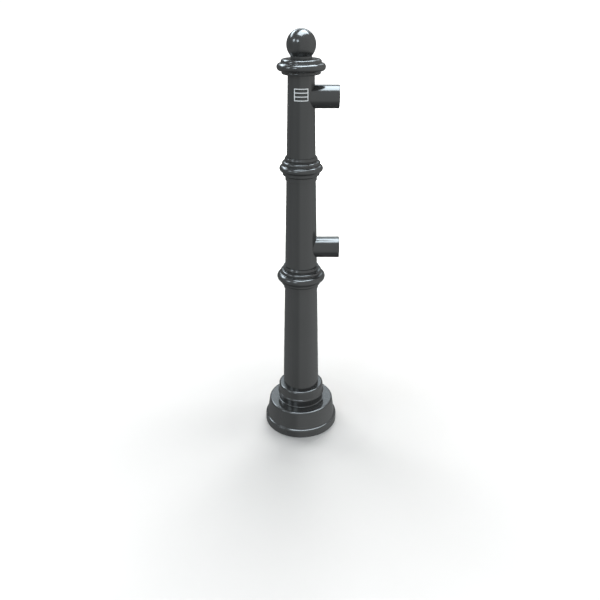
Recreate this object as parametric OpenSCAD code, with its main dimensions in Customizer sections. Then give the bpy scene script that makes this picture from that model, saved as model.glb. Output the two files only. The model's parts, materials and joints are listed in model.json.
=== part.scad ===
// End post for a pedestrian guard rail: a stepped bell base, a tapered shaft in three castings
// joined by two moulded rings, a collar, a ball finial, and two sockets for horizontal rails.
// A steel core tube on an anchored foot plate runs up the middle and clamps the castings.
// Millimetres, +Z up, origin at the middle of the foot plate's underside.

/* [Shaft] */
// Ground to the middle of the lower ring
foot_len = 451; // [300:0.5:600]
// Middle of the lower ring to the middle of the upper ring
mid_len = 283.5; // [220:0.5:400]
// Middle of the upper ring to the underside of the collar
top_len = 214.5; // [150:0.5:300]
// Outer radius that the shaft's taper has at the ground
shaft_foot_r = 51.6; // [46:0.1:56]
// Outer radius of the shaft at the underside of the collar
shaft_top_r = 31; // [29:0.1:36]
// Wall thickness of the shaft castings
shaft_wall = 5; // [4:0.5:6]

/* [Base] */
// Radius of the band at the foot of the bell
base_r = 100.5; // [92:0.5:125]
// Height of that band
band_h = 22.5; // [18:0.5:30]
// Rounding of the band's top edge
band_round = 4.5; // [2:0.5:6]
// Set-back of the bell wall from the band, at its foot
bell_inset = 4.5; // [3:0.5:8]
// How far the bell wall leans in on its way up
bell_lean = 7; // [3:0.5:10]
// Height of the wide step's top
wide_step_h = 73; // [68:0.5:100]
// Rounding of the wide step's edge
wide_step_round = 4; // [3:0.5:12]
// Height of the straight neck between the wide step and the lip
base_neck_h = 21.5; // [16:0.5:30]
// Radius of the cove at the foot of that neck
cove_r = 2.5; // [1.5:0.5:6]
// Height of the small step, from the middle of the lip to its top
small_step_h = 28; // [24:0.5:42]
// Rounding of the small step's edge
small_step_round = 4; // [3:0.5:8]
// How far the small step stands out from the shaft
small_step_out = 12.5; // [9:0.5:16]
// Wall thickness of the bell
bell_wall = 8; // [6:0.5:10]

/* [Rings and collar] */
// Radius of the lower ring's torus
lower_ring_r = 62; // [58:0.5:68]
// Half the height of the lower ring's torus
lower_ring_bead = 10.5; // [9:0.5:14]
// Radius of the upper ring's torus
upper_ring_r = 53; // [50:0.5:60]
// Half the height of the upper ring's torus
upper_ring_bead = 8; // [7:0.5:12]
// Height of each of the four beads beside a ring's torus
ring_step = 10; // [9:0.5:12]
// Depth of the grooves between a ring's torus and its beads
ring_groove = 1; // [0.5:0.5:3]
// Thickness of the web inside each ring
ring_web = 8; // [6:0.5:12]
// Radius of the collar's torus
collar_r = 56; // [52:0.5:62]
// Half the height of the collar's torus
collar_bead = 8.5; // [7:0.5:10]
// Height of the collar
collar_h = 33; // [30:0.5:38]

/* [Ball] */
// Radius of the ball
ball_r = 33.5; // [30:0.5:42]
// Radius of the ball's neck
neck_r = 24.5; // [22:0.5:27]
// Height of the ball's middle above the collar
ball_rise = 29.5; // [27:0.5:34]

/* [Rails] */
// Outer radius of a rail socket
socket_r = 26.5; // [25:0.5:30]
// Outer radius of the rail tube that a socket takes
rail_r = 21.2; // [19:0.1:23]
// Radial room round the rail in its socket
rail_clearance = 0.3; // [0.2:0.05:0.5]
// How far a socket stands out from the shaft
socket_reach = 56; // [45:0.5:80]
// Depth of a socket's bore
socket_depth = 45; // [35:0.5:60]
// Middle of the upper rail below the collar
upper_rail_drop = 49; // [40:0.5:90]
// Middle of the lower rail above the middle of the lower ring
lower_rail_rise = 79; // [66:0.5:120]
// Radius of the threaded spigot that holds a socket to its pad
spigot_r = 8; // [6:0.5:10]
// Radius of a rail clamp screw
screw_r = 4; // [3:0.5:5]
// Length of a rail clamp screw
screw_len = 8; // [8:0.5:12]
// Distance of a clamp screw from its socket's mouth
screw_inset = 18; // [12:0.5:25]

/* [Core and anchors] */
// Outer radius of the core tube
core_r = 16.85; // [14:0.05:18]
// Wall thickness of the core tube
core_wall = 3.2; // [2.5:0.1:4]
// Thickness of the foot plate
plate_t = 10; // [8:0.5:15]
// Diameter of the circle that the anchor holes lie on
anchor_pcd = 140; // [120:1:150]
// Radius of an anchor hole
anchor_r = 7; // [5.5:0.5:9]
// Thickness of a gusset
gusset_t = 6; // [4:0.5:8]
// Height of a gusset
gusset_h = 50; // [30:1:60]
// Radius of the clamp stud
stud_r = 6; // [5:0.5:7]
// Width across the flats of the clamp nut
nut_af = 19; // [17:0.5:22]
// Height of the clamp nut
nut_h = 10; // [8:0.5:12]
// Radius of the clamp washer
washer_r = 13; // [12:0.5:15]
// Thickness of the clamp washer
washer_t = 2.5; // [2:0.5:3]

/* [Badge] */
// Width of the badge
badge_w = 32; // [20:1:36]
// Height of the badge
badge_h = 27; // [16:1:30]
// Width of the badge's lines
badge_line = 1.6; // [1.2:0.1:3]
// Thickness of the badge
badge_t = 0.6; // [0.4:0.1:1]

/* [Hidden] */
$fn = 96;
seat_gap = 0.15;      // round the pieces that slide over one another
thread_gap = 0.05;    // between a screw or stud and its hole
cut = 1;              // how far a cutter passes the face it opens
anchors = 4;

lower_ring_z = foot_len;
upper_ring_z = lower_ring_z + mid_len;
collar_z = upper_ring_z + top_len;
collar_top = collar_z + collar_h;
ball_z = collar_top + ball_rise;
upper_rail_z = collar_z - upper_rail_drop;
lower_rail_z = lower_ring_z + lower_rail_rise;
taper = (shaft_foot_r - shaft_top_r) / collar_z;

bore_r = rail_r + rail_clearance;
bell_foot_r = base_r - bell_inset;
bell_top_r = bell_foot_r - bell_lean;
shoulder_z = wide_step_h - wide_step_round;
lip_z = wide_step_h + base_neck_h;
base_top = lip_z + small_step_h;
small_step_r = shaft_r(base_top) + small_step_out;
base_neck_r = small_step_r - 1.5;
lip_size = 3;

shelf_z = lip_z + 1;                 // where the lower shaft stands inside the base
collar_web = 12;                     // thickness of the collar over the upper shaft
collar_seat = collar_top - collar_web;
plug_h = 15;
core_top = collar_seat - 10;
stud_low = core_top - plug_h + 2;
recess_r = washer_r + 1;
recess_top = collar_top + washer_t + nut_h + 2;
stud_top = recess_top + 16;
spigot_end = core_r - core_wall;
pad_r = spigot_r + 5;
screw_slack = 0.5;                   // rest distance of a clamp screw's tip from the bore

paint = [0.20, 0.22, 0.24];
steel = [0.62, 0.64, 0.66];
zinc = [0.74, 0.74, 0.70];
white = [0.90, 0.91, 0.92];

// Outer radius of the shaft at a height
function shaft_r(z) = shaft_foot_r - taper * z;

// Half section of a round moulding whose outermost radius is r
module bead(r, z, size) {
    translate([r - size, z]) circle(size);
}

// Half section of a disc with a half-round edge
module moulding(r, z, size) {
    bead(r, z, size);
    band(r - size, z - size, z + size);
}

// Half section of a plain band from the axis out to r
module band(r, low, high) {
    translate([0, low]) square([r, high - low]);
}

// Half section of the shaft's taper, grown or shrunk by a radial step
module taper_section(low, high, step = 0) {
    polygon([
        [0, low], [shaft_r(low) + step, low], [shaft_r(high) + step, high], [0, high]
    ]);
}

// Hollow tapered casting, with a hole for a socket's spigot where rail_z is given
module shaft_casting(low, high, rail_z = undef) {
    difference() {
        rotate_extrude() difference() {
            taper_section(low, high);
            taper_section(low - cut, high + cut, -shaft_wall);
        }
        if (rail_z != undef)
            translate([0, 0, rail_z]) rotate([0, 90, 0]) cylinder(h = base_r, r = spigot_r + seat_gap);
    }
}

// Sleeve round the ends of two shaft castings: a torus between two pairs of beads, and a web inside
module ring_casting(z, ring_r, ring_bead) {
    near = ring_bead + ring_step / 2;
    far = near + ring_step;
    half = far + ring_step / 2;
    above = [[shaft_r(z) + 4.5, z + far], [shaft_r(z) + 10.8, z + near]];
    below = [[shaft_r(z) + 9.7, z - near], [shaft_r(z) + 3.3, z - far]];
    crests = concat(above, [[ring_r, z]], below);
    rotate_extrude() difference() {
        union() {
            taper_section(z - half, z + half, 2.5);
            moulding(ring_r, z, ring_bead);
            for (crest = concat(above, below)) moulding(crest[0], crest[1], ring_step / 2 - 0.2);
            for (i = [0 : 3])
                band(min(crests[i][0], crests[i + 1][0]) - ring_groove, crests[i + 1][1], crests[i][1]);
        }
        taper_section(z + ring_web / 2, z + half + cut, seat_gap);
        taper_section(z - half - cut, z - ring_web / 2, seat_gap);
        band(core_r + seat_gap, z - half, z + half);
    }
}

// Boss on the core tube that a socket's spigot screws into, shaped to the shaft's inside
module socket_pad(z) {
    difference() {
        intersection() {
            translate([0, 0, z]) rotate([0, 90, 0]) cylinder(h = shaft_r(z), r = pad_r);
            rotate_extrude()
                taper_section(z - pad_r - cut, z + pad_r + cut, -shaft_wall - 2 * seat_gap);
        }
        translate([0, 0, z - pad_r - cut]) cylinder(h = 2 * (pad_r + cut), r = core_r);
        translate([0, 0, z]) rotate([0, 90, 0]) cylinder(h = shaft_r(z), r = spigot_r);
    }
}

// Blind tube socket with a threaded spigot and a saddle that fits the shaft
module rail_socket(z) {
    mouth = shaft_r(z) + socket_reach;
    difference() {
        union() {
            difference() {
                translate([0, 0, z]) rotate([0, 90, 0]) rotate_extrude() polygon([
                    [0, 0], [socket_r, 0], [socket_r, mouth - 1], [socket_r - 1, mouth], [0, mouth]
                ]);
                rotate_extrude() taper_section(z - socket_r - cut, z + socket_r + cut, seat_gap);
            }
            translate([spigot_end, 0, z]) rotate([0, 90, 0])
                cylinder(h = mouth - socket_depth - spigot_end - cut, r = spigot_r - thread_gap);
        }
        translate([mouth - socket_depth, 0, z]) rotate([0, 90, 0])
            cylinder(h = socket_depth + cut, r = bore_r);
        translate([mouth - screw_inset, 0, z]) rotate([-90, 0, 0])
            cylinder(h = socket_r + cut, r = screw_r);
    }
}

// Headless screw with a hexagon drive, in the rear wall of a socket
module clamp_screw(z) {
    translate([shaft_r(z) + socket_reach - screw_inset, bore_r + screw_slack, z]) rotate([-90, 0, 0])
        difference() {
            rotate_extrude() polygon([
                [0, 0], [screw_r - 1, 0], [screw_r - thread_gap, 1],
                [screw_r - thread_gap, screw_len], [0, screw_len]
            ]);
            translate([0, 0, screw_len - 4]) cylinder(h = 4 + cut, r = screw_r / 2 + 0.3, $fn = 6);
        }
}

module base_plate() {
    color(steel) difference() {
        cylinder(h = plate_t, r = base_r - bell_wall - seat_gap);
        for (i = [0 : anchors - 1])
            rotate(45 + i * 360 / anchors) translate([anchor_pcd / 2, 0, -cut])
                cylinder(h = plate_t + 2 * cut, r = anchor_r);
    }
}

module plate_gussets() {
    gusset_out = anchor_pcd / 2 - 8;
    color(steel) for (i = [0 : anchors - 1])
        rotate(i * 360 / anchors) translate([0, gusset_t / 2, plate_t]) rotate([90, 0, 0])
            difference() {
                linear_extrude(gusset_t) polygon([
                    [0, 0], [gusset_out, 0], [gusset_out, 8], [core_r + 6, gusset_h], [0, gusset_h]
                ]);
                translate([0, -cut, gusset_t / 2]) rotate([-90, 0, 0])
                    cylinder(h = gusset_h + 2 * cut, r = core_r);
            }
}

module core_tube() {
    color(steel) difference() {
        translate([0, 0, plate_t]) cylinder(h = core_top - plate_t, r = core_r);
        translate([0, 0, plate_t - cut])
            cylinder(h = core_top - plate_t + 2 * cut, r = core_r - core_wall);
        for (z = [lower_rail_z, upper_rail_z])
            translate([0, 0, z]) rotate([0, 90, 0]) cylinder(h = core_r + cut, r = spigot_r);
    }
}

module base_casting() {
    color(paint) rotate_extrude() difference() {
        union() {
            band(base_r, 0, band_h - band_round);
            band(base_r - band_round, 0, band_h);
            bead(base_r, band_h - band_round, band_round);
            polygon([
                [0, 0], [bell_foot_r, band_h - 1], [bell_top_r, shoulder_z],
                [bell_top_r - wide_step_round, wide_step_h], [0, wide_step_h]
            ]);
            bead(bell_top_r, shoulder_z, wide_step_round);
            band(base_neck_r, wide_step_h - 1, lip_z);
            difference() {
                band(base_neck_r + cove_r, wide_step_h - 1, wide_step_h + cove_r);
                translate([base_neck_r + cove_r, wide_step_h + cove_r]) circle(cove_r);
            }
            moulding(small_step_r + lip_size, lip_z, lip_size);
            band(small_step_r, lip_z, base_top - small_step_round);
            moulding(small_step_r, base_top - small_step_round, small_step_round);
        }
        polygon([
            [0, -cut], [base_r - bell_wall, -cut], [base_r - bell_wall, band_h - bell_wall],
            [bell_top_r - bell_wall, wide_step_h - bell_wall],
            [shaft_r(shelf_z) - shaft_wall, wide_step_h - bell_wall],
            [shaft_r(shelf_z) - shaft_wall, shelf_z], [0, shelf_z]
        ]);
        taper_section(shelf_z, base_top + cut, seat_gap);
    }
}

module lower_shaft() {
    color(paint) shaft_casting(shelf_z, lower_ring_z - ring_web / 2);
}

module lower_ring() {
    color(paint) ring_casting(lower_ring_z, lower_ring_r, lower_ring_bead);
}

module middle_shaft() {
    color(paint)
        shaft_casting(lower_ring_z + ring_web / 2, upper_ring_z - ring_web / 2, lower_rail_z);
}

module upper_ring() {
    color(paint) ring_casting(upper_ring_z, upper_ring_r, upper_ring_bead);
}

module upper_shaft() {
    color(paint) shaft_casting(upper_ring_z + ring_web / 2, collar_seat, upper_rail_z);
}

module collar() {
    torus_z = collar_z + 16;
    shoulder_round = 6;
    color(paint) rotate_extrude() difference() {
        union() {
            taper_section(collar_z, collar_z + 3, 4);
            moulding(shaft_top_r + 14, collar_z + 3.5, 3.3);
            band(shaft_top_r + 13, collar_z + 3.5, torus_z);
            moulding(collar_r, torus_z, collar_bead);
            band(shaft_top_r + 15.5, torus_z, collar_top - shoulder_round);
            moulding(shaft_top_r + 15.5, collar_top - shoulder_round, shoulder_round);
        }
        taper_section(collar_z - 2 * cut, collar_seat, seat_gap);
        band(stud_r + seat_gap, collar_seat - cut, collar_top + cut);
    }
}

module top_plug() {
    color(steel) translate([0, 0, core_top - plug_h]) difference() {
        cylinder(h = plug_h, r = core_r - core_wall);
        translate([0, 0, -cut]) cylinder(h = plug_h + 2 * cut, r = stud_r);
    }
}

module clamp_stud() {
    color(zinc) translate([0, 0, stud_low])
        cylinder(h = stud_top - stud_low, r = stud_r - thread_gap);
}

module clamp_washer() {
    color(zinc) translate([0, 0, collar_top]) difference() {
        cylinder(h = washer_t, r = washer_r);
        translate([0, 0, -cut]) cylinder(h = washer_t + 2 * cut, r = stud_r + seat_gap);
    }
}

module clamp_nut() {
    color(zinc) translate([0, 0, collar_top + washer_t]) difference() {
        cylinder(h = nut_h, r = nut_af / sqrt(3), $fn = 6);
        translate([0, 0, -cut]) cylinder(h = nut_h + 2 * cut, r = stud_r);
    }
}

module ball_finial() {
    color(paint) difference() {
        rotate_extrude() union() {
            intersection() {
                translate([0, ball_z]) circle(ball_r);
                band(ball_r, collar_top, ball_z + ball_r);
            }
            band(neck_r, collar_top, ball_z);
        }
        translate([0, 0, collar_top - cut]) cylinder(h = recess_top - collar_top + cut, r = recess_r);
        translate([0, 0, recess_top - cut]) cylinder(h = stud_top + 2 - recess_top + cut, r = stud_r);
    }
}

module lower_socket_pad() {
    color(steel) socket_pad(lower_rail_z);
}

module upper_socket_pad() {
    color(steel) socket_pad(upper_rail_z);
}

module lower_rail_socket() {
    color(paint) rail_socket(lower_rail_z);
}

module upper_rail_socket() {
    color(paint) rail_socket(upper_rail_z);
}

module lower_clamp_screw() {
    color(zinc) clamp_screw(lower_rail_z);
}

module upper_clamp_screw() {
    color(zinc) clamp_screw(upper_rail_z);
}

// Plain framed label of three cells, bent round the front of the upper shaft
module badge() {
    badge_z = upper_rail_z + 8;
    cell = (badge_h - badge_line) / 3;
    color(white) intersection() {
        rotate_extrude() difference() {
            taper_section(badge_z - badge_h, badge_z + badge_h, badge_t);
            taper_section(badge_z - badge_h - cut, badge_z + badge_h + cut, 0);
        }
        translate([0, 0, badge_z - badge_h / 2]) rotate([90, 0, 0]) linear_extrude(base_r)
            difference() {
                translate([-badge_w / 2, 0]) square([badge_w, badge_h]);
                for (i = [0 : 2])
                    translate([badge_line - badge_w / 2, badge_line + i * cell])
                        square([badge_w - 2 * badge_line, cell - badge_line]);
            }
    }
}

base_plate();
plate_gussets();
core_tube();
base_casting();
lower_shaft();
lower_ring();
middle_shaft();
upper_ring();
upper_shaft();
collar();
top_plug();
clamp_stud();
clamp_washer();
clamp_nut();
ball_finial();
lower_socket_pad();
upper_socket_pad();
lower_rail_socket();
upper_rail_socket();
lower_clamp_screw();
upper_clamp_screw();
badge();
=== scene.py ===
"""Looks of the guard rail end post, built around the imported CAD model.

The castings are turned afresh as fine lathe meshes with soft creases, because paint and casting
round every corner. Their overall sizes come from the frame's boxes and their mouldings from the
numbers here. Everything is in metres.
"""

import json
import math

import bmesh
import bpy
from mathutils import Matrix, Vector


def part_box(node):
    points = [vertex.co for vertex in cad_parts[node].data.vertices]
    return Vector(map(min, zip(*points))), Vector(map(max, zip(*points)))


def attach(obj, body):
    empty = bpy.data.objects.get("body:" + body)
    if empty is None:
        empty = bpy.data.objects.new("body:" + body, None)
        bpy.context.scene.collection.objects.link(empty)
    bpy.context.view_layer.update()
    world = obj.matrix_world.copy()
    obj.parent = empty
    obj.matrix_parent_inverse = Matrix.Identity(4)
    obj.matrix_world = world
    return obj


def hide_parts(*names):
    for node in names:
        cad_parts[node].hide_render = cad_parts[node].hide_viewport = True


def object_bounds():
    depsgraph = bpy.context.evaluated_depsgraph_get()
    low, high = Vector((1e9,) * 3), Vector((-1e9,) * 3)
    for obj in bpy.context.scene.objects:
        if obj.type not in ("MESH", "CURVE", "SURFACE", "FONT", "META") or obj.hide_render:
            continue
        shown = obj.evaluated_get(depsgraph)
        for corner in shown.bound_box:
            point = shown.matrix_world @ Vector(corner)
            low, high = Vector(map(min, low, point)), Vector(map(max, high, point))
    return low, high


MM = 0.001
SEGMENTS = 144  # round a lathe piece
SCAN_STEP = 0.1 * MM  # between the heights at which an outline is first measured
FINE_STEP = 0.45 * MM  # between the points of an outline while it is softened
OUTLINE_STEP = 0.9 * MM  # between the points of a finished outline
WALL = 5 * MM  # shaft castings
BASE_WALL = 8 * MM  # bell base
SEAT = 0.15 * MM  # room round a shaft where it enters another casting
STUDIO = 30  # half the width of the studio floor
DOME = 27  # radius of the white backdrop, inside the reach of every camera

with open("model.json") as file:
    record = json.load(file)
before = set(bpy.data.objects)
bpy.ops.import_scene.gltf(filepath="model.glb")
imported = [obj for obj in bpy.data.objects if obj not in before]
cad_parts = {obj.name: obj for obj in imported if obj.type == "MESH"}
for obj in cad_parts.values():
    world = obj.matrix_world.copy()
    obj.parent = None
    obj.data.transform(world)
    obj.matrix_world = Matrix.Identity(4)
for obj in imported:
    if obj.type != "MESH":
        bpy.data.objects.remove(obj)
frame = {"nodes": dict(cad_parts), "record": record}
cad_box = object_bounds()


# ---------------------------------------------------------------- camera


def add_camera():
    """Camera in front of the post, a little above its top, looking down at it."""
    data = bpy.data.cameras.new("camera")
    data.sensor_width = 36
    data.lens = 38.32
    data.clip_end = 200
    look_down = 26.62
    camera = bpy.data.objects.new("camera", data)
    camera.location = (-0.0027, -1.5188, 1.1392)
    camera.rotation_euler = (math.radians(90 - look_down), 0, 0)
    bpy.context.scene.collection.objects.link(camera)
    bpy.context.scene.camera = camera


# ---------------------------------------------------------------- outlines


def line(r0, z0, r1, z1):
    """Radius along a straight wall between two heights."""
    low, high = min(z0, z1), max(z0, z1)

    def radius(z):
        if not low <= z <= high:
            return 0
        return r0 + (r1 - r0) * (z - z0) / (z1 - z0)

    return radius


def bead(r, z0, size, low=-1, high=1):
    """Radius of a round edge that reaches radius r; low and high keep only a part of its height."""

    def radius(z):
        t = (z - z0) / size
        if not low <= t <= high:
            return 0
        return r - size + size * math.sqrt(max(0, 1 - t * t))

    return radius


def cove(r, z0, size):
    """Radius of a hollow that opens outwards below height z0, from radius r."""

    def radius(z):
        t = (z0 - z) / size
        if not 0 <= t <= 1:
            return 0
        return r + size - size * math.sqrt(1 - t * t)

    return radius


def respace(points, step):
    """The same path with its points an even distance apart."""
    length = sum((b - a).length for a, b in zip(points, points[1:]))
    count = max(2, round(length / step))
    even, walked, target = [points[0]], 0, length / count
    for a, b in zip(points, points[1:]):
        piece = (b - a).length
        while piece and walked + piece >= target and len(even) < count:
            even.append(a.lerp(b, (target - walked) / piece))
            target += length / count
        walked += piece
    even.append(points[-1])
    return even


def soften(points, rounds):
    """Rounds the creases of a path, as casting and paint do, and keeps its ends."""
    for _ in range(rounds):
        middle = [(a + 2 * b + c) / 4 for a, b, c in zip(points, points[1:], points[2:])]
        points = [points[0], *middle, points[-1]]
    return points


def outline(shapes, low, high, rounds=5):
    """Outer path from the top to the bottom of a turned piece: at each height, the widest shape."""
    count = round((high - low) / SCAN_STEP)
    heights = [high + (low - high) * i / count for i in range(count + 1)]
    path = [Vector((max(shape(z) for shape in shapes), z)) for z in heights]
    return respace(soften(respace(path, FINE_STEP), rounds), OUTLINE_STEP)


# ---------------------------------------------------------------- meshes


def mark_sharp(bm, degrees):
    """Leaves edges that turn by more than the angle sharp, and smooths the rest."""
    for face in bm.faces:
        face.smooth = True
    for edge in bm.edges:
        edge.smooth = edge.calc_face_angle(0) < math.radians(degrees)


def lathe(name, path, closed=True):
    """Turns a path of (radius, height) points about the Z axis."""
    bm = bmesh.new()
    rings = []
    for radius, height in path:
        if radius < 1e-7:
            rings.append([bm.verts.new((0, 0, height))])
            continue
        ring = []
        for i in range(SEGMENTS):
            turn = 2 * math.pi * i / SEGMENTS
            ring.append(bm.verts.new((radius * math.cos(turn), radius * math.sin(turn), height)))
        rings.append(ring)
    pairs = list(zip(rings, rings[1:]))
    if closed:
        pairs.append((rings[-1], rings[0]))
    for upper, lower in pairs:
        for i in range(SEGMENTS):
            j = (i + 1) % SEGMENTS
            if len(upper) == 1:
                bm.faces.new((upper[0], lower[i], lower[j]))
            elif len(lower) == 1:
                bm.faces.new((upper[i], lower[0], upper[j]))
            else:
                bm.faces.new((upper[i], lower[i], lower[j], upper[j]))
    bmesh.ops.recalc_face_normals(bm, faces=bm.faces)
    mark_sharp(bm, 40)
    mesh = bpy.data.meshes.new(name)
    bm.to_mesh(mesh)
    bm.free()
    piece = bpy.data.objects.new(name, mesh)
    bpy.context.scene.collection.objects.link(piece)
    return piece


# ---------------------------------------------------------------- sizes from the frame


def outer_radius(node):
    """Largest radius of a turned CAD node."""
    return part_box(node)[1].y


def bottom(node):
    """Lowest height of a CAD node."""
    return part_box(node)[0].z


def top(node):
    """Highest height of a CAD node."""
    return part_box(node)[1].z


def shaft_radius(z):
    """Radius of the tapered shaft: a straight line through two castings' lower ends."""
    z0, z1 = bottom("lower_shaft"), bottom("upper_shaft")
    r0, r1 = outer_radius("lower_shaft"), outer_radius("upper_shaft")
    return r0 + (r1 - r0) * (z - z0) / (z1 - z0)


# ---------------------------------------------------------------- pieces


def shaft_piece(name, node):
    """Plain tapered tube with eased ends."""
    low, high = bottom(node), top(node)
    ease, rows = 0.4 * MM, 24
    outer = [
        Vector((shaft_radius(high) - ease, high)),
        Vector((shaft_radius(high - ease), high - ease)),
    ]
    for i in range(1, rows):
        z = high + (low - high) * i / rows
        outer.append(Vector((shaft_radius(z), z)))
    outer += [
        Vector((shaft_radius(low + ease), low + ease)),
        Vector((shaft_radius(low) - ease, low)),
    ]
    inner = [Vector((shaft_radius(low) - WALL, low)), Vector((shaft_radius(high) - WALL, high))]
    return finish_casting(lathe(name, outer + inner), node)


def ring_piece(name, node):
    """Moulded ring: a torus with two beads above it and two below, on a sleeve."""
    low, high = bottom(node), top(node)
    middle, half = (low + high) / 2, (high - low) / 2
    step, size, groove, sleeve = 10 * MM, 4.8 * MM, 1 * MM, 2.5 * MM
    far, near = half - step / 2, half - step * 1.5
    shaft = shaft_radius(middle)
    crests = [
        (shaft + 4.5 * MM, middle + far),
        (shaft + 10.8 * MM, middle + near),
        (outer_radius(node), middle),
        (shaft + 9.7 * MM, middle - near),
        (shaft + 3.3 * MM, middle - far),
    ]
    shapes = [
        line(shaft_radius(low) + sleeve, low, shaft_radius(high) + sleeve, high),
        bead(outer_radius(node), middle, half - 2 * step),
    ]
    shapes += [bead(*crests[i], size) for i in (0, 1, 3, 4)]
    for upper, lower in zip(crests, crests[1:]):
        valley = min(upper[0], lower[0]) - groove
        shapes.append(line(valley, lower[1], valley, upper[1]))
    outer = outline(shapes, low, high)
    inner = [
        Vector((shaft_radius(low) + SEAT, low)),
        Vector((shaft_radius(high) + SEAT, high)),
    ]
    return finish_casting(lathe(name, outer + inner), node)


def collar_piece():
    """Cap under the ball: a round shoulder, a torus and a small bead."""
    low, high = bottom("collar"), top("collar")
    shaft = shaft_radius(low)
    lower_bead, torus = low + 3.5 * MM, low + 16 * MM
    skirt, web, shoulder, rounding = shaft + 4 * MM, shaft + 13 * MM, shaft + 15.5 * MM, 6 * MM
    shapes = [
        line(skirt, low, skirt, low + 3 * MM),
        bead(shaft + 14 * MM, lower_bead, 3.3 * MM),
        line(web, lower_bead, web, torus),
        bead(outer_radius("collar"), torus, 8.5 * MM),
        line(shoulder, torus, shoulder, high - rounding),
        bead(shoulder, high - rounding, rounding, low=0),
    ]
    outer = outline(shapes, low, high)
    seat, stud_hole = high - 12 * MM, 6.2 * MM
    inner = [
        Vector((shaft + SEAT, low)),
        Vector((shaft_radius(seat) + SEAT, seat)),
        Vector((stud_hole, seat)),
        Vector((stud_hole, high)),
    ]
    return finish_casting(lathe("collar_casting", outer + inner), "collar")


def ball_piece():
    """Ball on a short neck that flares softly into it and down to the collar."""
    low, high = bottom("ball_finial"), top("ball_finial")
    ball_r = outer_radius("ball_finial")
    centre = high - ball_r
    neck, socket = 24.5 * MM, 14 * MM
    socket_top = low + 14.5 * MM
    meet = math.asin(neck / ball_r)
    steps, neck_steps = 90, 8
    path = []
    for i in range(steps + 1):
        turn = (math.pi - meet) * i / steps
        path.append(Vector((ball_r * math.sin(turn), centre + ball_r * math.cos(turn))))
    path[0].x = 0
    fall = path[-1].y - low
    path += [
        Vector((neck, low + fall * (1 - i / neck_steps))) for i in range(1, neck_steps + 1)
    ]
    path = [path[0], *respace(soften(respace(path[1:], 0.4 * MM), 4), 0.8 * MM)]
    path += [Vector((socket, low)), Vector((socket, socket_top)), Vector((0, socket_top))]
    return finish_casting(lathe("ball_casting", path, closed=False), "ball_finial")


def base_piece():
    """Stepped bell: a band, a leaning wall, a wide step, a neck, a lip and a small step."""
    low, high = bottom("base_casting"), top("base_casting")
    base_r = outer_radius("base_casting")
    band_h, band_round = 22.5 * MM, 4.5 * MM
    foot_r, shoulder_r = base_r - 4.5 * MM, base_r - 11.5 * MM
    step_h, step_round, cove_r = 73 * MM, 5.5 * MM, 2.5 * MM
    lip_z, lip_size = high - 28 * MM, 3 * MM
    small_r, small_round = shaft_radius(high) + 12.5 * MM, 6 * MM
    neck_r = small_r - 1.5 * MM
    shapes = [
        line(base_r, low, base_r, band_h - band_round),
        bead(base_r, band_h - band_round, band_round, low=0),
        line(foot_r, band_h - 1 * MM, shoulder_r, step_h - step_round),
        bead(shoulder_r, step_h - step_round, step_round, low=0),
        cove(neck_r, step_h + cove_r, cove_r),
        line(neck_r, step_h, neck_r, lip_z),
        bead(small_r + lip_size, lip_z, lip_size),
        line(small_r, lip_z, small_r, high - small_round),
        bead(small_r, high - small_round, small_round, low=0),
    ]
    outer = outline(shapes, low, high)
    shelf = bottom("lower_shaft")
    throat = shaft_radius(shelf) - WALL
    inner = [
        Vector((base_r - BASE_WALL, low)),
        Vector((base_r - BASE_WALL, band_h - BASE_WALL)),
        Vector((shoulder_r - BASE_WALL, step_h - BASE_WALL)),
        Vector((throat, step_h - BASE_WALL)),
        Vector((throat, shelf)),
        Vector((shaft_radius(shelf) + SEAT, shelf)),
        Vector((shaft_radius(high) + SEAT, high)),
    ]
    return finish_casting(lathe("bell_base", outer + inner), "base_casting")


def finish_casting(piece, node):
    """Puts a lathe piece in the place of its CAD node."""
    piece.data.materials.append(materials["casting_paint"])
    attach(piece, "post")
    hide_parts(node)
    return piece


# ---------------------------------------------------------------- materials


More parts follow.
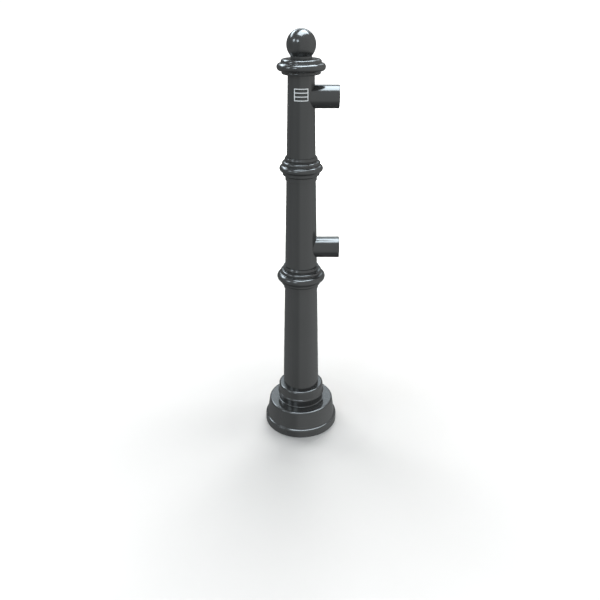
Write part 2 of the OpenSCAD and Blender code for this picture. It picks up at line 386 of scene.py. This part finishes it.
class Nodes:
    """Small helper that adds shader nodes and links them."""

    def __init__(self, name):
        self.material = bpy.data.materials.new(name)
        self.material.use_nodes = True
        self.tree = self.material.node_tree
        self.shader = self.tree.nodes["Principled BSDF"]
        self.place = self.add("ShaderNodeTexCoord").outputs["Object"]

    def add(self, kind, **values):
        node = self.tree.nodes.new(kind)
        for key, value in values.items():
            setattr(node, key, value)
        return node

    def link(self, a, b):
        self.tree.links.new(a, b)

    def noise(self, scale, detail=4.0, roughness=0.5, stretch=(1, 1, 1)):
        mapping = self.add("ShaderNodeMapping")
        mapping.inputs["Scale"].default_value = stretch
        self.link(self.place, mapping.inputs["Vector"])
        node = self.add("ShaderNodeTexNoise")
        node.inputs["Scale"].default_value = scale
        node.inputs["Detail"].default_value = detail
        node.inputs["Roughness"].default_value = roughness
        self.link(mapping.outputs["Vector"], node.inputs["Vector"])
        return node.outputs["Fac"]

    def ramp(self, value, stops):
        node = self.add("ShaderNodeValToRGB")
        elements = node.color_ramp.elements
        while len(elements) < len(stops):
            elements.new(0.5)
        for element, (position, colour) in zip(elements, stops):
            element.position = position
            element.color = (*colour, 1)
        self.link(value, node.inputs["Fac"])
        return node.outputs["Color"]

    def span(self, value, low, high, from_low=0.3, from_high=0.7):
        node = self.add("ShaderNodeMapRange")
        node.inputs["From Min"].default_value = from_low
        node.inputs["From Max"].default_value = from_high
        node.inputs["To Min"].default_value = low
        node.inputs["To Max"].default_value = high
        self.link(value, node.inputs["Value"])
        return node.outputs["Result"]

    def bump(self, layers):
        """Chains bump layers of (height, distance in metres, strength)."""
        normal = None
        for height, distance, strength in layers:
            node = self.add("ShaderNodeBump")
            node.inputs["Distance"].default_value = distance
            node.inputs["Strength"].default_value = strength
            self.link(height, node.inputs["Height"])
            if normal is not None:
                self.link(normal, node.inputs["Normal"])
            normal = node.outputs["Normal"]
        self.link(normal, self.shader.inputs["Normal"])


def casting_paint():
    """Glossy anthracite paint on a smooth casting, with faint orange peel and slow waves."""
    n = Nodes("casting_paint")
    cloud = n.noise(9, 3)
    n.link(
        n.ramp(cloud, [(0.3, (0.021, 0.0218, 0.0222)), (0.7, (0.025, 0.0258, 0.0262))]),
        n.shader.inputs["Base Color"],
    )
    n.link(n.span(n.noise(38, 5, 0.6), 0.15, 0.19), n.shader.inputs["Roughness"])
    n.shader.inputs["IOR"].default_value = 1.6
    n.bump([(n.noise(14, 1), 0.0002, 0.04), (n.noise(620, 2, 0.4), 0.00001, 0.08)])
    return n.material


def bare_steel():
    """Galvanised steel with a soft spangle."""
    n = Nodes("bare_steel")
    spangle = n.add("ShaderNodeTexVoronoi")
    spangle.inputs["Scale"].default_value = 140
    n.link(n.place, spangle.inputs["Vector"])
    n.link(
        n.ramp(
            spangle.outputs["Distance"], [(0.0, (0.36, 0.37, 0.38)), (0.8, (0.52, 0.53, 0.54))]
        ),
        n.shader.inputs["Base Color"],
    )
    n.shader.inputs["Metallic"].default_value = 1.0
    n.link(n.span(n.noise(90, 4), 0.32, 0.5), n.shader.inputs["Roughness"])
    n.bump([(n.noise(420, 3), 0.00005, 0.4)])
    return n.material


def zinc_plate():
    """Zinc plated fasteners with turning marks."""
    n = Nodes("zinc_plate")
    n.link(
        n.ramp(n.noise(160, 4), [(0.3, (0.50, 0.50, 0.46)), (0.7, (0.66, 0.66, 0.63))]),
        n.shader.inputs["Base Color"],
    )
    n.shader.inputs["Metallic"].default_value = 1.0
    n.link(n.span(n.noise(300, 3, 0.6, (1, 1, 8)), 0.22, 0.4), n.shader.inputs["Roughness"])
    n.bump([(n.noise(900, 2, 0.5, (0.1, 0.1, 1)), 0.00004, 0.5)])
    return n.material


def badge_print():
    """Plain satin white marking, a little uneven."""
    n = Nodes("badge_print")
    n.link(
        n.ramp(n.noise(260, 4), [(0.3, (0.70, 0.72, 0.74)), (0.7, (0.82, 0.83, 0.84))]),
        n.shader.inputs["Base Color"],
    )
    n.link(n.span(n.noise(500, 3), 0.35, 0.5), n.shader.inputs["Roughness"])
    n.bump([(n.noise(900, 2), 0.00002, 0.4)])
    return n.material


def paint_nodes():
    """Gives each CAD node the material of its slot."""
    slots = {row["node"]: row["material_slot"] for row in frame["record"]["subparts"]}
    for name, node in frame["nodes"].items():
        node.data.materials.clear()
        node.data.materials.append(materials[slots[name]])


# ---------------------------------------------------------------- studio


def floor_material():
    """Matt pale floor with a hardly visible grain, that glows white away from the post."""
    n = Nodes("studio_floor")
    glow, glow_from, glow_to = 1.15, 0.2, 3.0
    n.link(
        n.ramp(n.noise(3, 3), [(0.3, (0.370, 0.367, 0.364)), (0.7, (0.380, 0.377, 0.374))]),
        n.shader.inputs["Base Color"],
    )
    n.shader.inputs["Roughness"].default_value = 0.9
    n.shader.inputs["Specular IOR Level"].default_value = 0.0
    distance = n.add("ShaderNodeVectorMath", operation="LENGTH")
    n.link(n.place, distance.inputs[0])
    n.link(
        n.span(distance.outputs["Value"], 0.0, glow, glow_from, glow_to),
        n.shader.inputs["Emission Strength"],
    )
    n.shader.inputs["Emission Color"].default_value = (1, 1, 1, 1)
    return n.material


def add_stage(name, bm, height, material):
    """A studio surface that only the camera sees: the paint reflects the world instead."""
    mesh = bpy.data.meshes.new(name)
    bm.to_mesh(mesh)
    bm.free()
    stage = bpy.data.objects.new(name, mesh)
    stage.location.z = height
    stage.visible_glossy = False
    stage.visible_diffuse = False
    mesh.materials.append(material)
    bpy.context.scene.collection.objects.link(stage)
    return stage


def add_floor():
    """Floor a hair under the base, so that the two faces stay apart."""
    bm = bmesh.new()
    bmesh.ops.create_grid(bm, x_segments=4, y_segments=4, size=STUDIO)
    gap = 0.2 * MM
    add_stage("studio_floor", bm, cad_box[0][2] - gap, floor_material())


def add_backdrop():
    """White dome behind everything, which neither lights nor shades the post."""
    bm = bmesh.new()
    bmesh.ops.create_uvsphere(bm, u_segments=48, v_segments=24, radius=DOME)
    material = bpy.data.materials.new("studio_backdrop")
    material.use_nodes = True
    shader = material.node_tree.nodes["Principled BSDF"]
    shader.inputs["Base Color"].default_value = (0, 0, 0, 1)
    shader.inputs["Emission Color"].default_value = (1, 1, 1, 1)
    shader.inputs["Emission Strength"].default_value = 1
    backdrop = add_stage("studio_backdrop", bm, 0, material)
    backdrop.visible_shadow = False


def add_area(name, place, target, size, brightness, colour, shape):
    """Soft light that faces its target. The brightness is that of its face, whatever its size."""
    data = bpy.data.lights.new(name, "AREA")
    data.shape = shape
    data.size, data.size_y = size
    area = size[0] * size[1] * (math.pi / 4 if shape == "DISK" else 1)
    data.energy = brightness * math.pi * area
    data.color = colour
    light = bpy.data.objects.new(name, data)
    light.location = place
    aim = (Vector(target) - Vector(place)).to_track_quat("-Z", "Y")
    light.rotation_euler = aim.to_euler()
    light.visible_camera = False
    bpy.context.scene.collection.objects.link(light)
    return light


def add_lights():
    """Softboxes for the paint's reflections, round lamps for the floor, and two lamps for both."""
    ball, foot = (0, 0, 1.0), (0, 0, 0)
    cool, white = (0.80, 0.92, 1), (1, 1, 1)
    softboxes = [
        ("overhead_softbox", (0.5, 0.7, 5.0), ball, (2.5, 4.8), 15),
        ("back_left_softbox", (-3.25, 3.6, 4.5), ball, (4.2, 1.4), 10),
        ("back_softbox", (0, 6.6, 4.8), foot, (7.0, 2.6), 2.0),
    ]
    for row in softboxes:
        add_area(*row, cool, "RECTANGLE").visible_diffuse = False
    floor_lamps = [
        ("right_shadow_lamp", (1.13, 3.69, 4.6), foot, (3.2, 3.2), 15),
        ("middle_shadow_lamp", (-0.9, 4.3, 4.2), foot, (3.4, 3.4), 6),
        ("left_shadow_lamp", (-3.25, 3.25, 3.86), foot, (2.6, 2.6), 13),
        ("right_fill", (4.5, 0.8, 2.6), foot, (3.0, 3.0), 5),
    ]
    for row in floor_lamps:
        add_area(*row, white, "DISK").visible_glossy = False
    add_area("left_lamp", (-4.52, -2.1, 3.56), ball, (1.5, 1.5), 11, cool, "DISK")
    add_area("front_lamp", (-2.44, -4.26, 3.72), ball, (1.5, 1.5), 12, cool, "DISK")


def add_world():
    """Surroundings that the paint reflects: pale in front and on the right, darker elsewhere."""
    world = bpy.data.worlds.new("studio")
    world.use_nodes = True
    tree = world.node_tree
    place = tree.nodes.new("ShaderNodeTexCoord").outputs["Generated"]
    split = tree.nodes.new("ShaderNodeSeparateXYZ")
    tree.links.new(place, split.inputs["Vector"])

    def ramp(value, stops):
        shift = tree.nodes.new("ShaderNodeMapRange")
        shift.inputs["From Min"].default_value = -1
        tree.links.new(value, shift.inputs["Value"])
        node = tree.nodes.new("ShaderNodeValToRGB")
        elements = node.color_ramp.elements
        while len(elements) < len(stops):
            elements.new(0.5)
        for element, (position, grey) in zip(elements, stops):
            element.position = (position + 1) / 2
            element.color = (grey * 0.99, grey, grey, 1)
        tree.links.new(shift.outputs["Result"], node.inputs["Fac"])
        return node.outputs["Color"]

    def multiply(a, b):
        mix = tree.nodes.new("ShaderNodeMix")
        mix.data_type = "RGBA"
        mix.blend_type = "MULTIPLY"
        mix.inputs["Factor"].default_value = 1
        tree.links.new(a, mix.inputs["A"])
        tree.links.new(b, mix.inputs["B"])
        return mix.outputs["Result"]

    across = [(-1, 0.5), (-0.85, 0.64), (-0.3, 0.6), (-0.08, 0.95), (1, 1)]
    side = ramp(split.outputs["X"], across)
    depth = ramp(split.outputs["Y"], [(-0.2, 1), (0.2, 0.8), (0.66, 0.42), (1, 0.15)])
    height = ramp(split.outputs["Z"], [(-1, 0.25), (-0.8, 0.35), (-0.5, 1)])
    grey = multiply(multiply(side, depth), height)
    tree.links.new(grey, tree.nodes["Background"].inputs["Color"])
    bpy.context.scene.world = world


# ---------------------------------------------------------------- build

add_camera()
materials = {
    "casting_paint": casting_paint(),
    "bare_steel": bare_steel(),
    "zinc_plate": zinc_plate(),
    "badge_print": badge_print(),
}
paint_nodes()
base_piece()
shaft_piece("lower_shaft_casting", "lower_shaft")
ring_piece("lower_ring_casting", "lower_ring")
shaft_piece("middle_shaft_casting", "middle_shaft")
ring_piece("upper_ring_casting", "upper_ring")
shaft_piece("upper_shaft_casting", "upper_shaft")
collar_piece()
ball_piece()
add_floor()
add_backdrop()
add_lights()
add_world()
bpy.context.scene.view_settings.view_transform = "Standard"
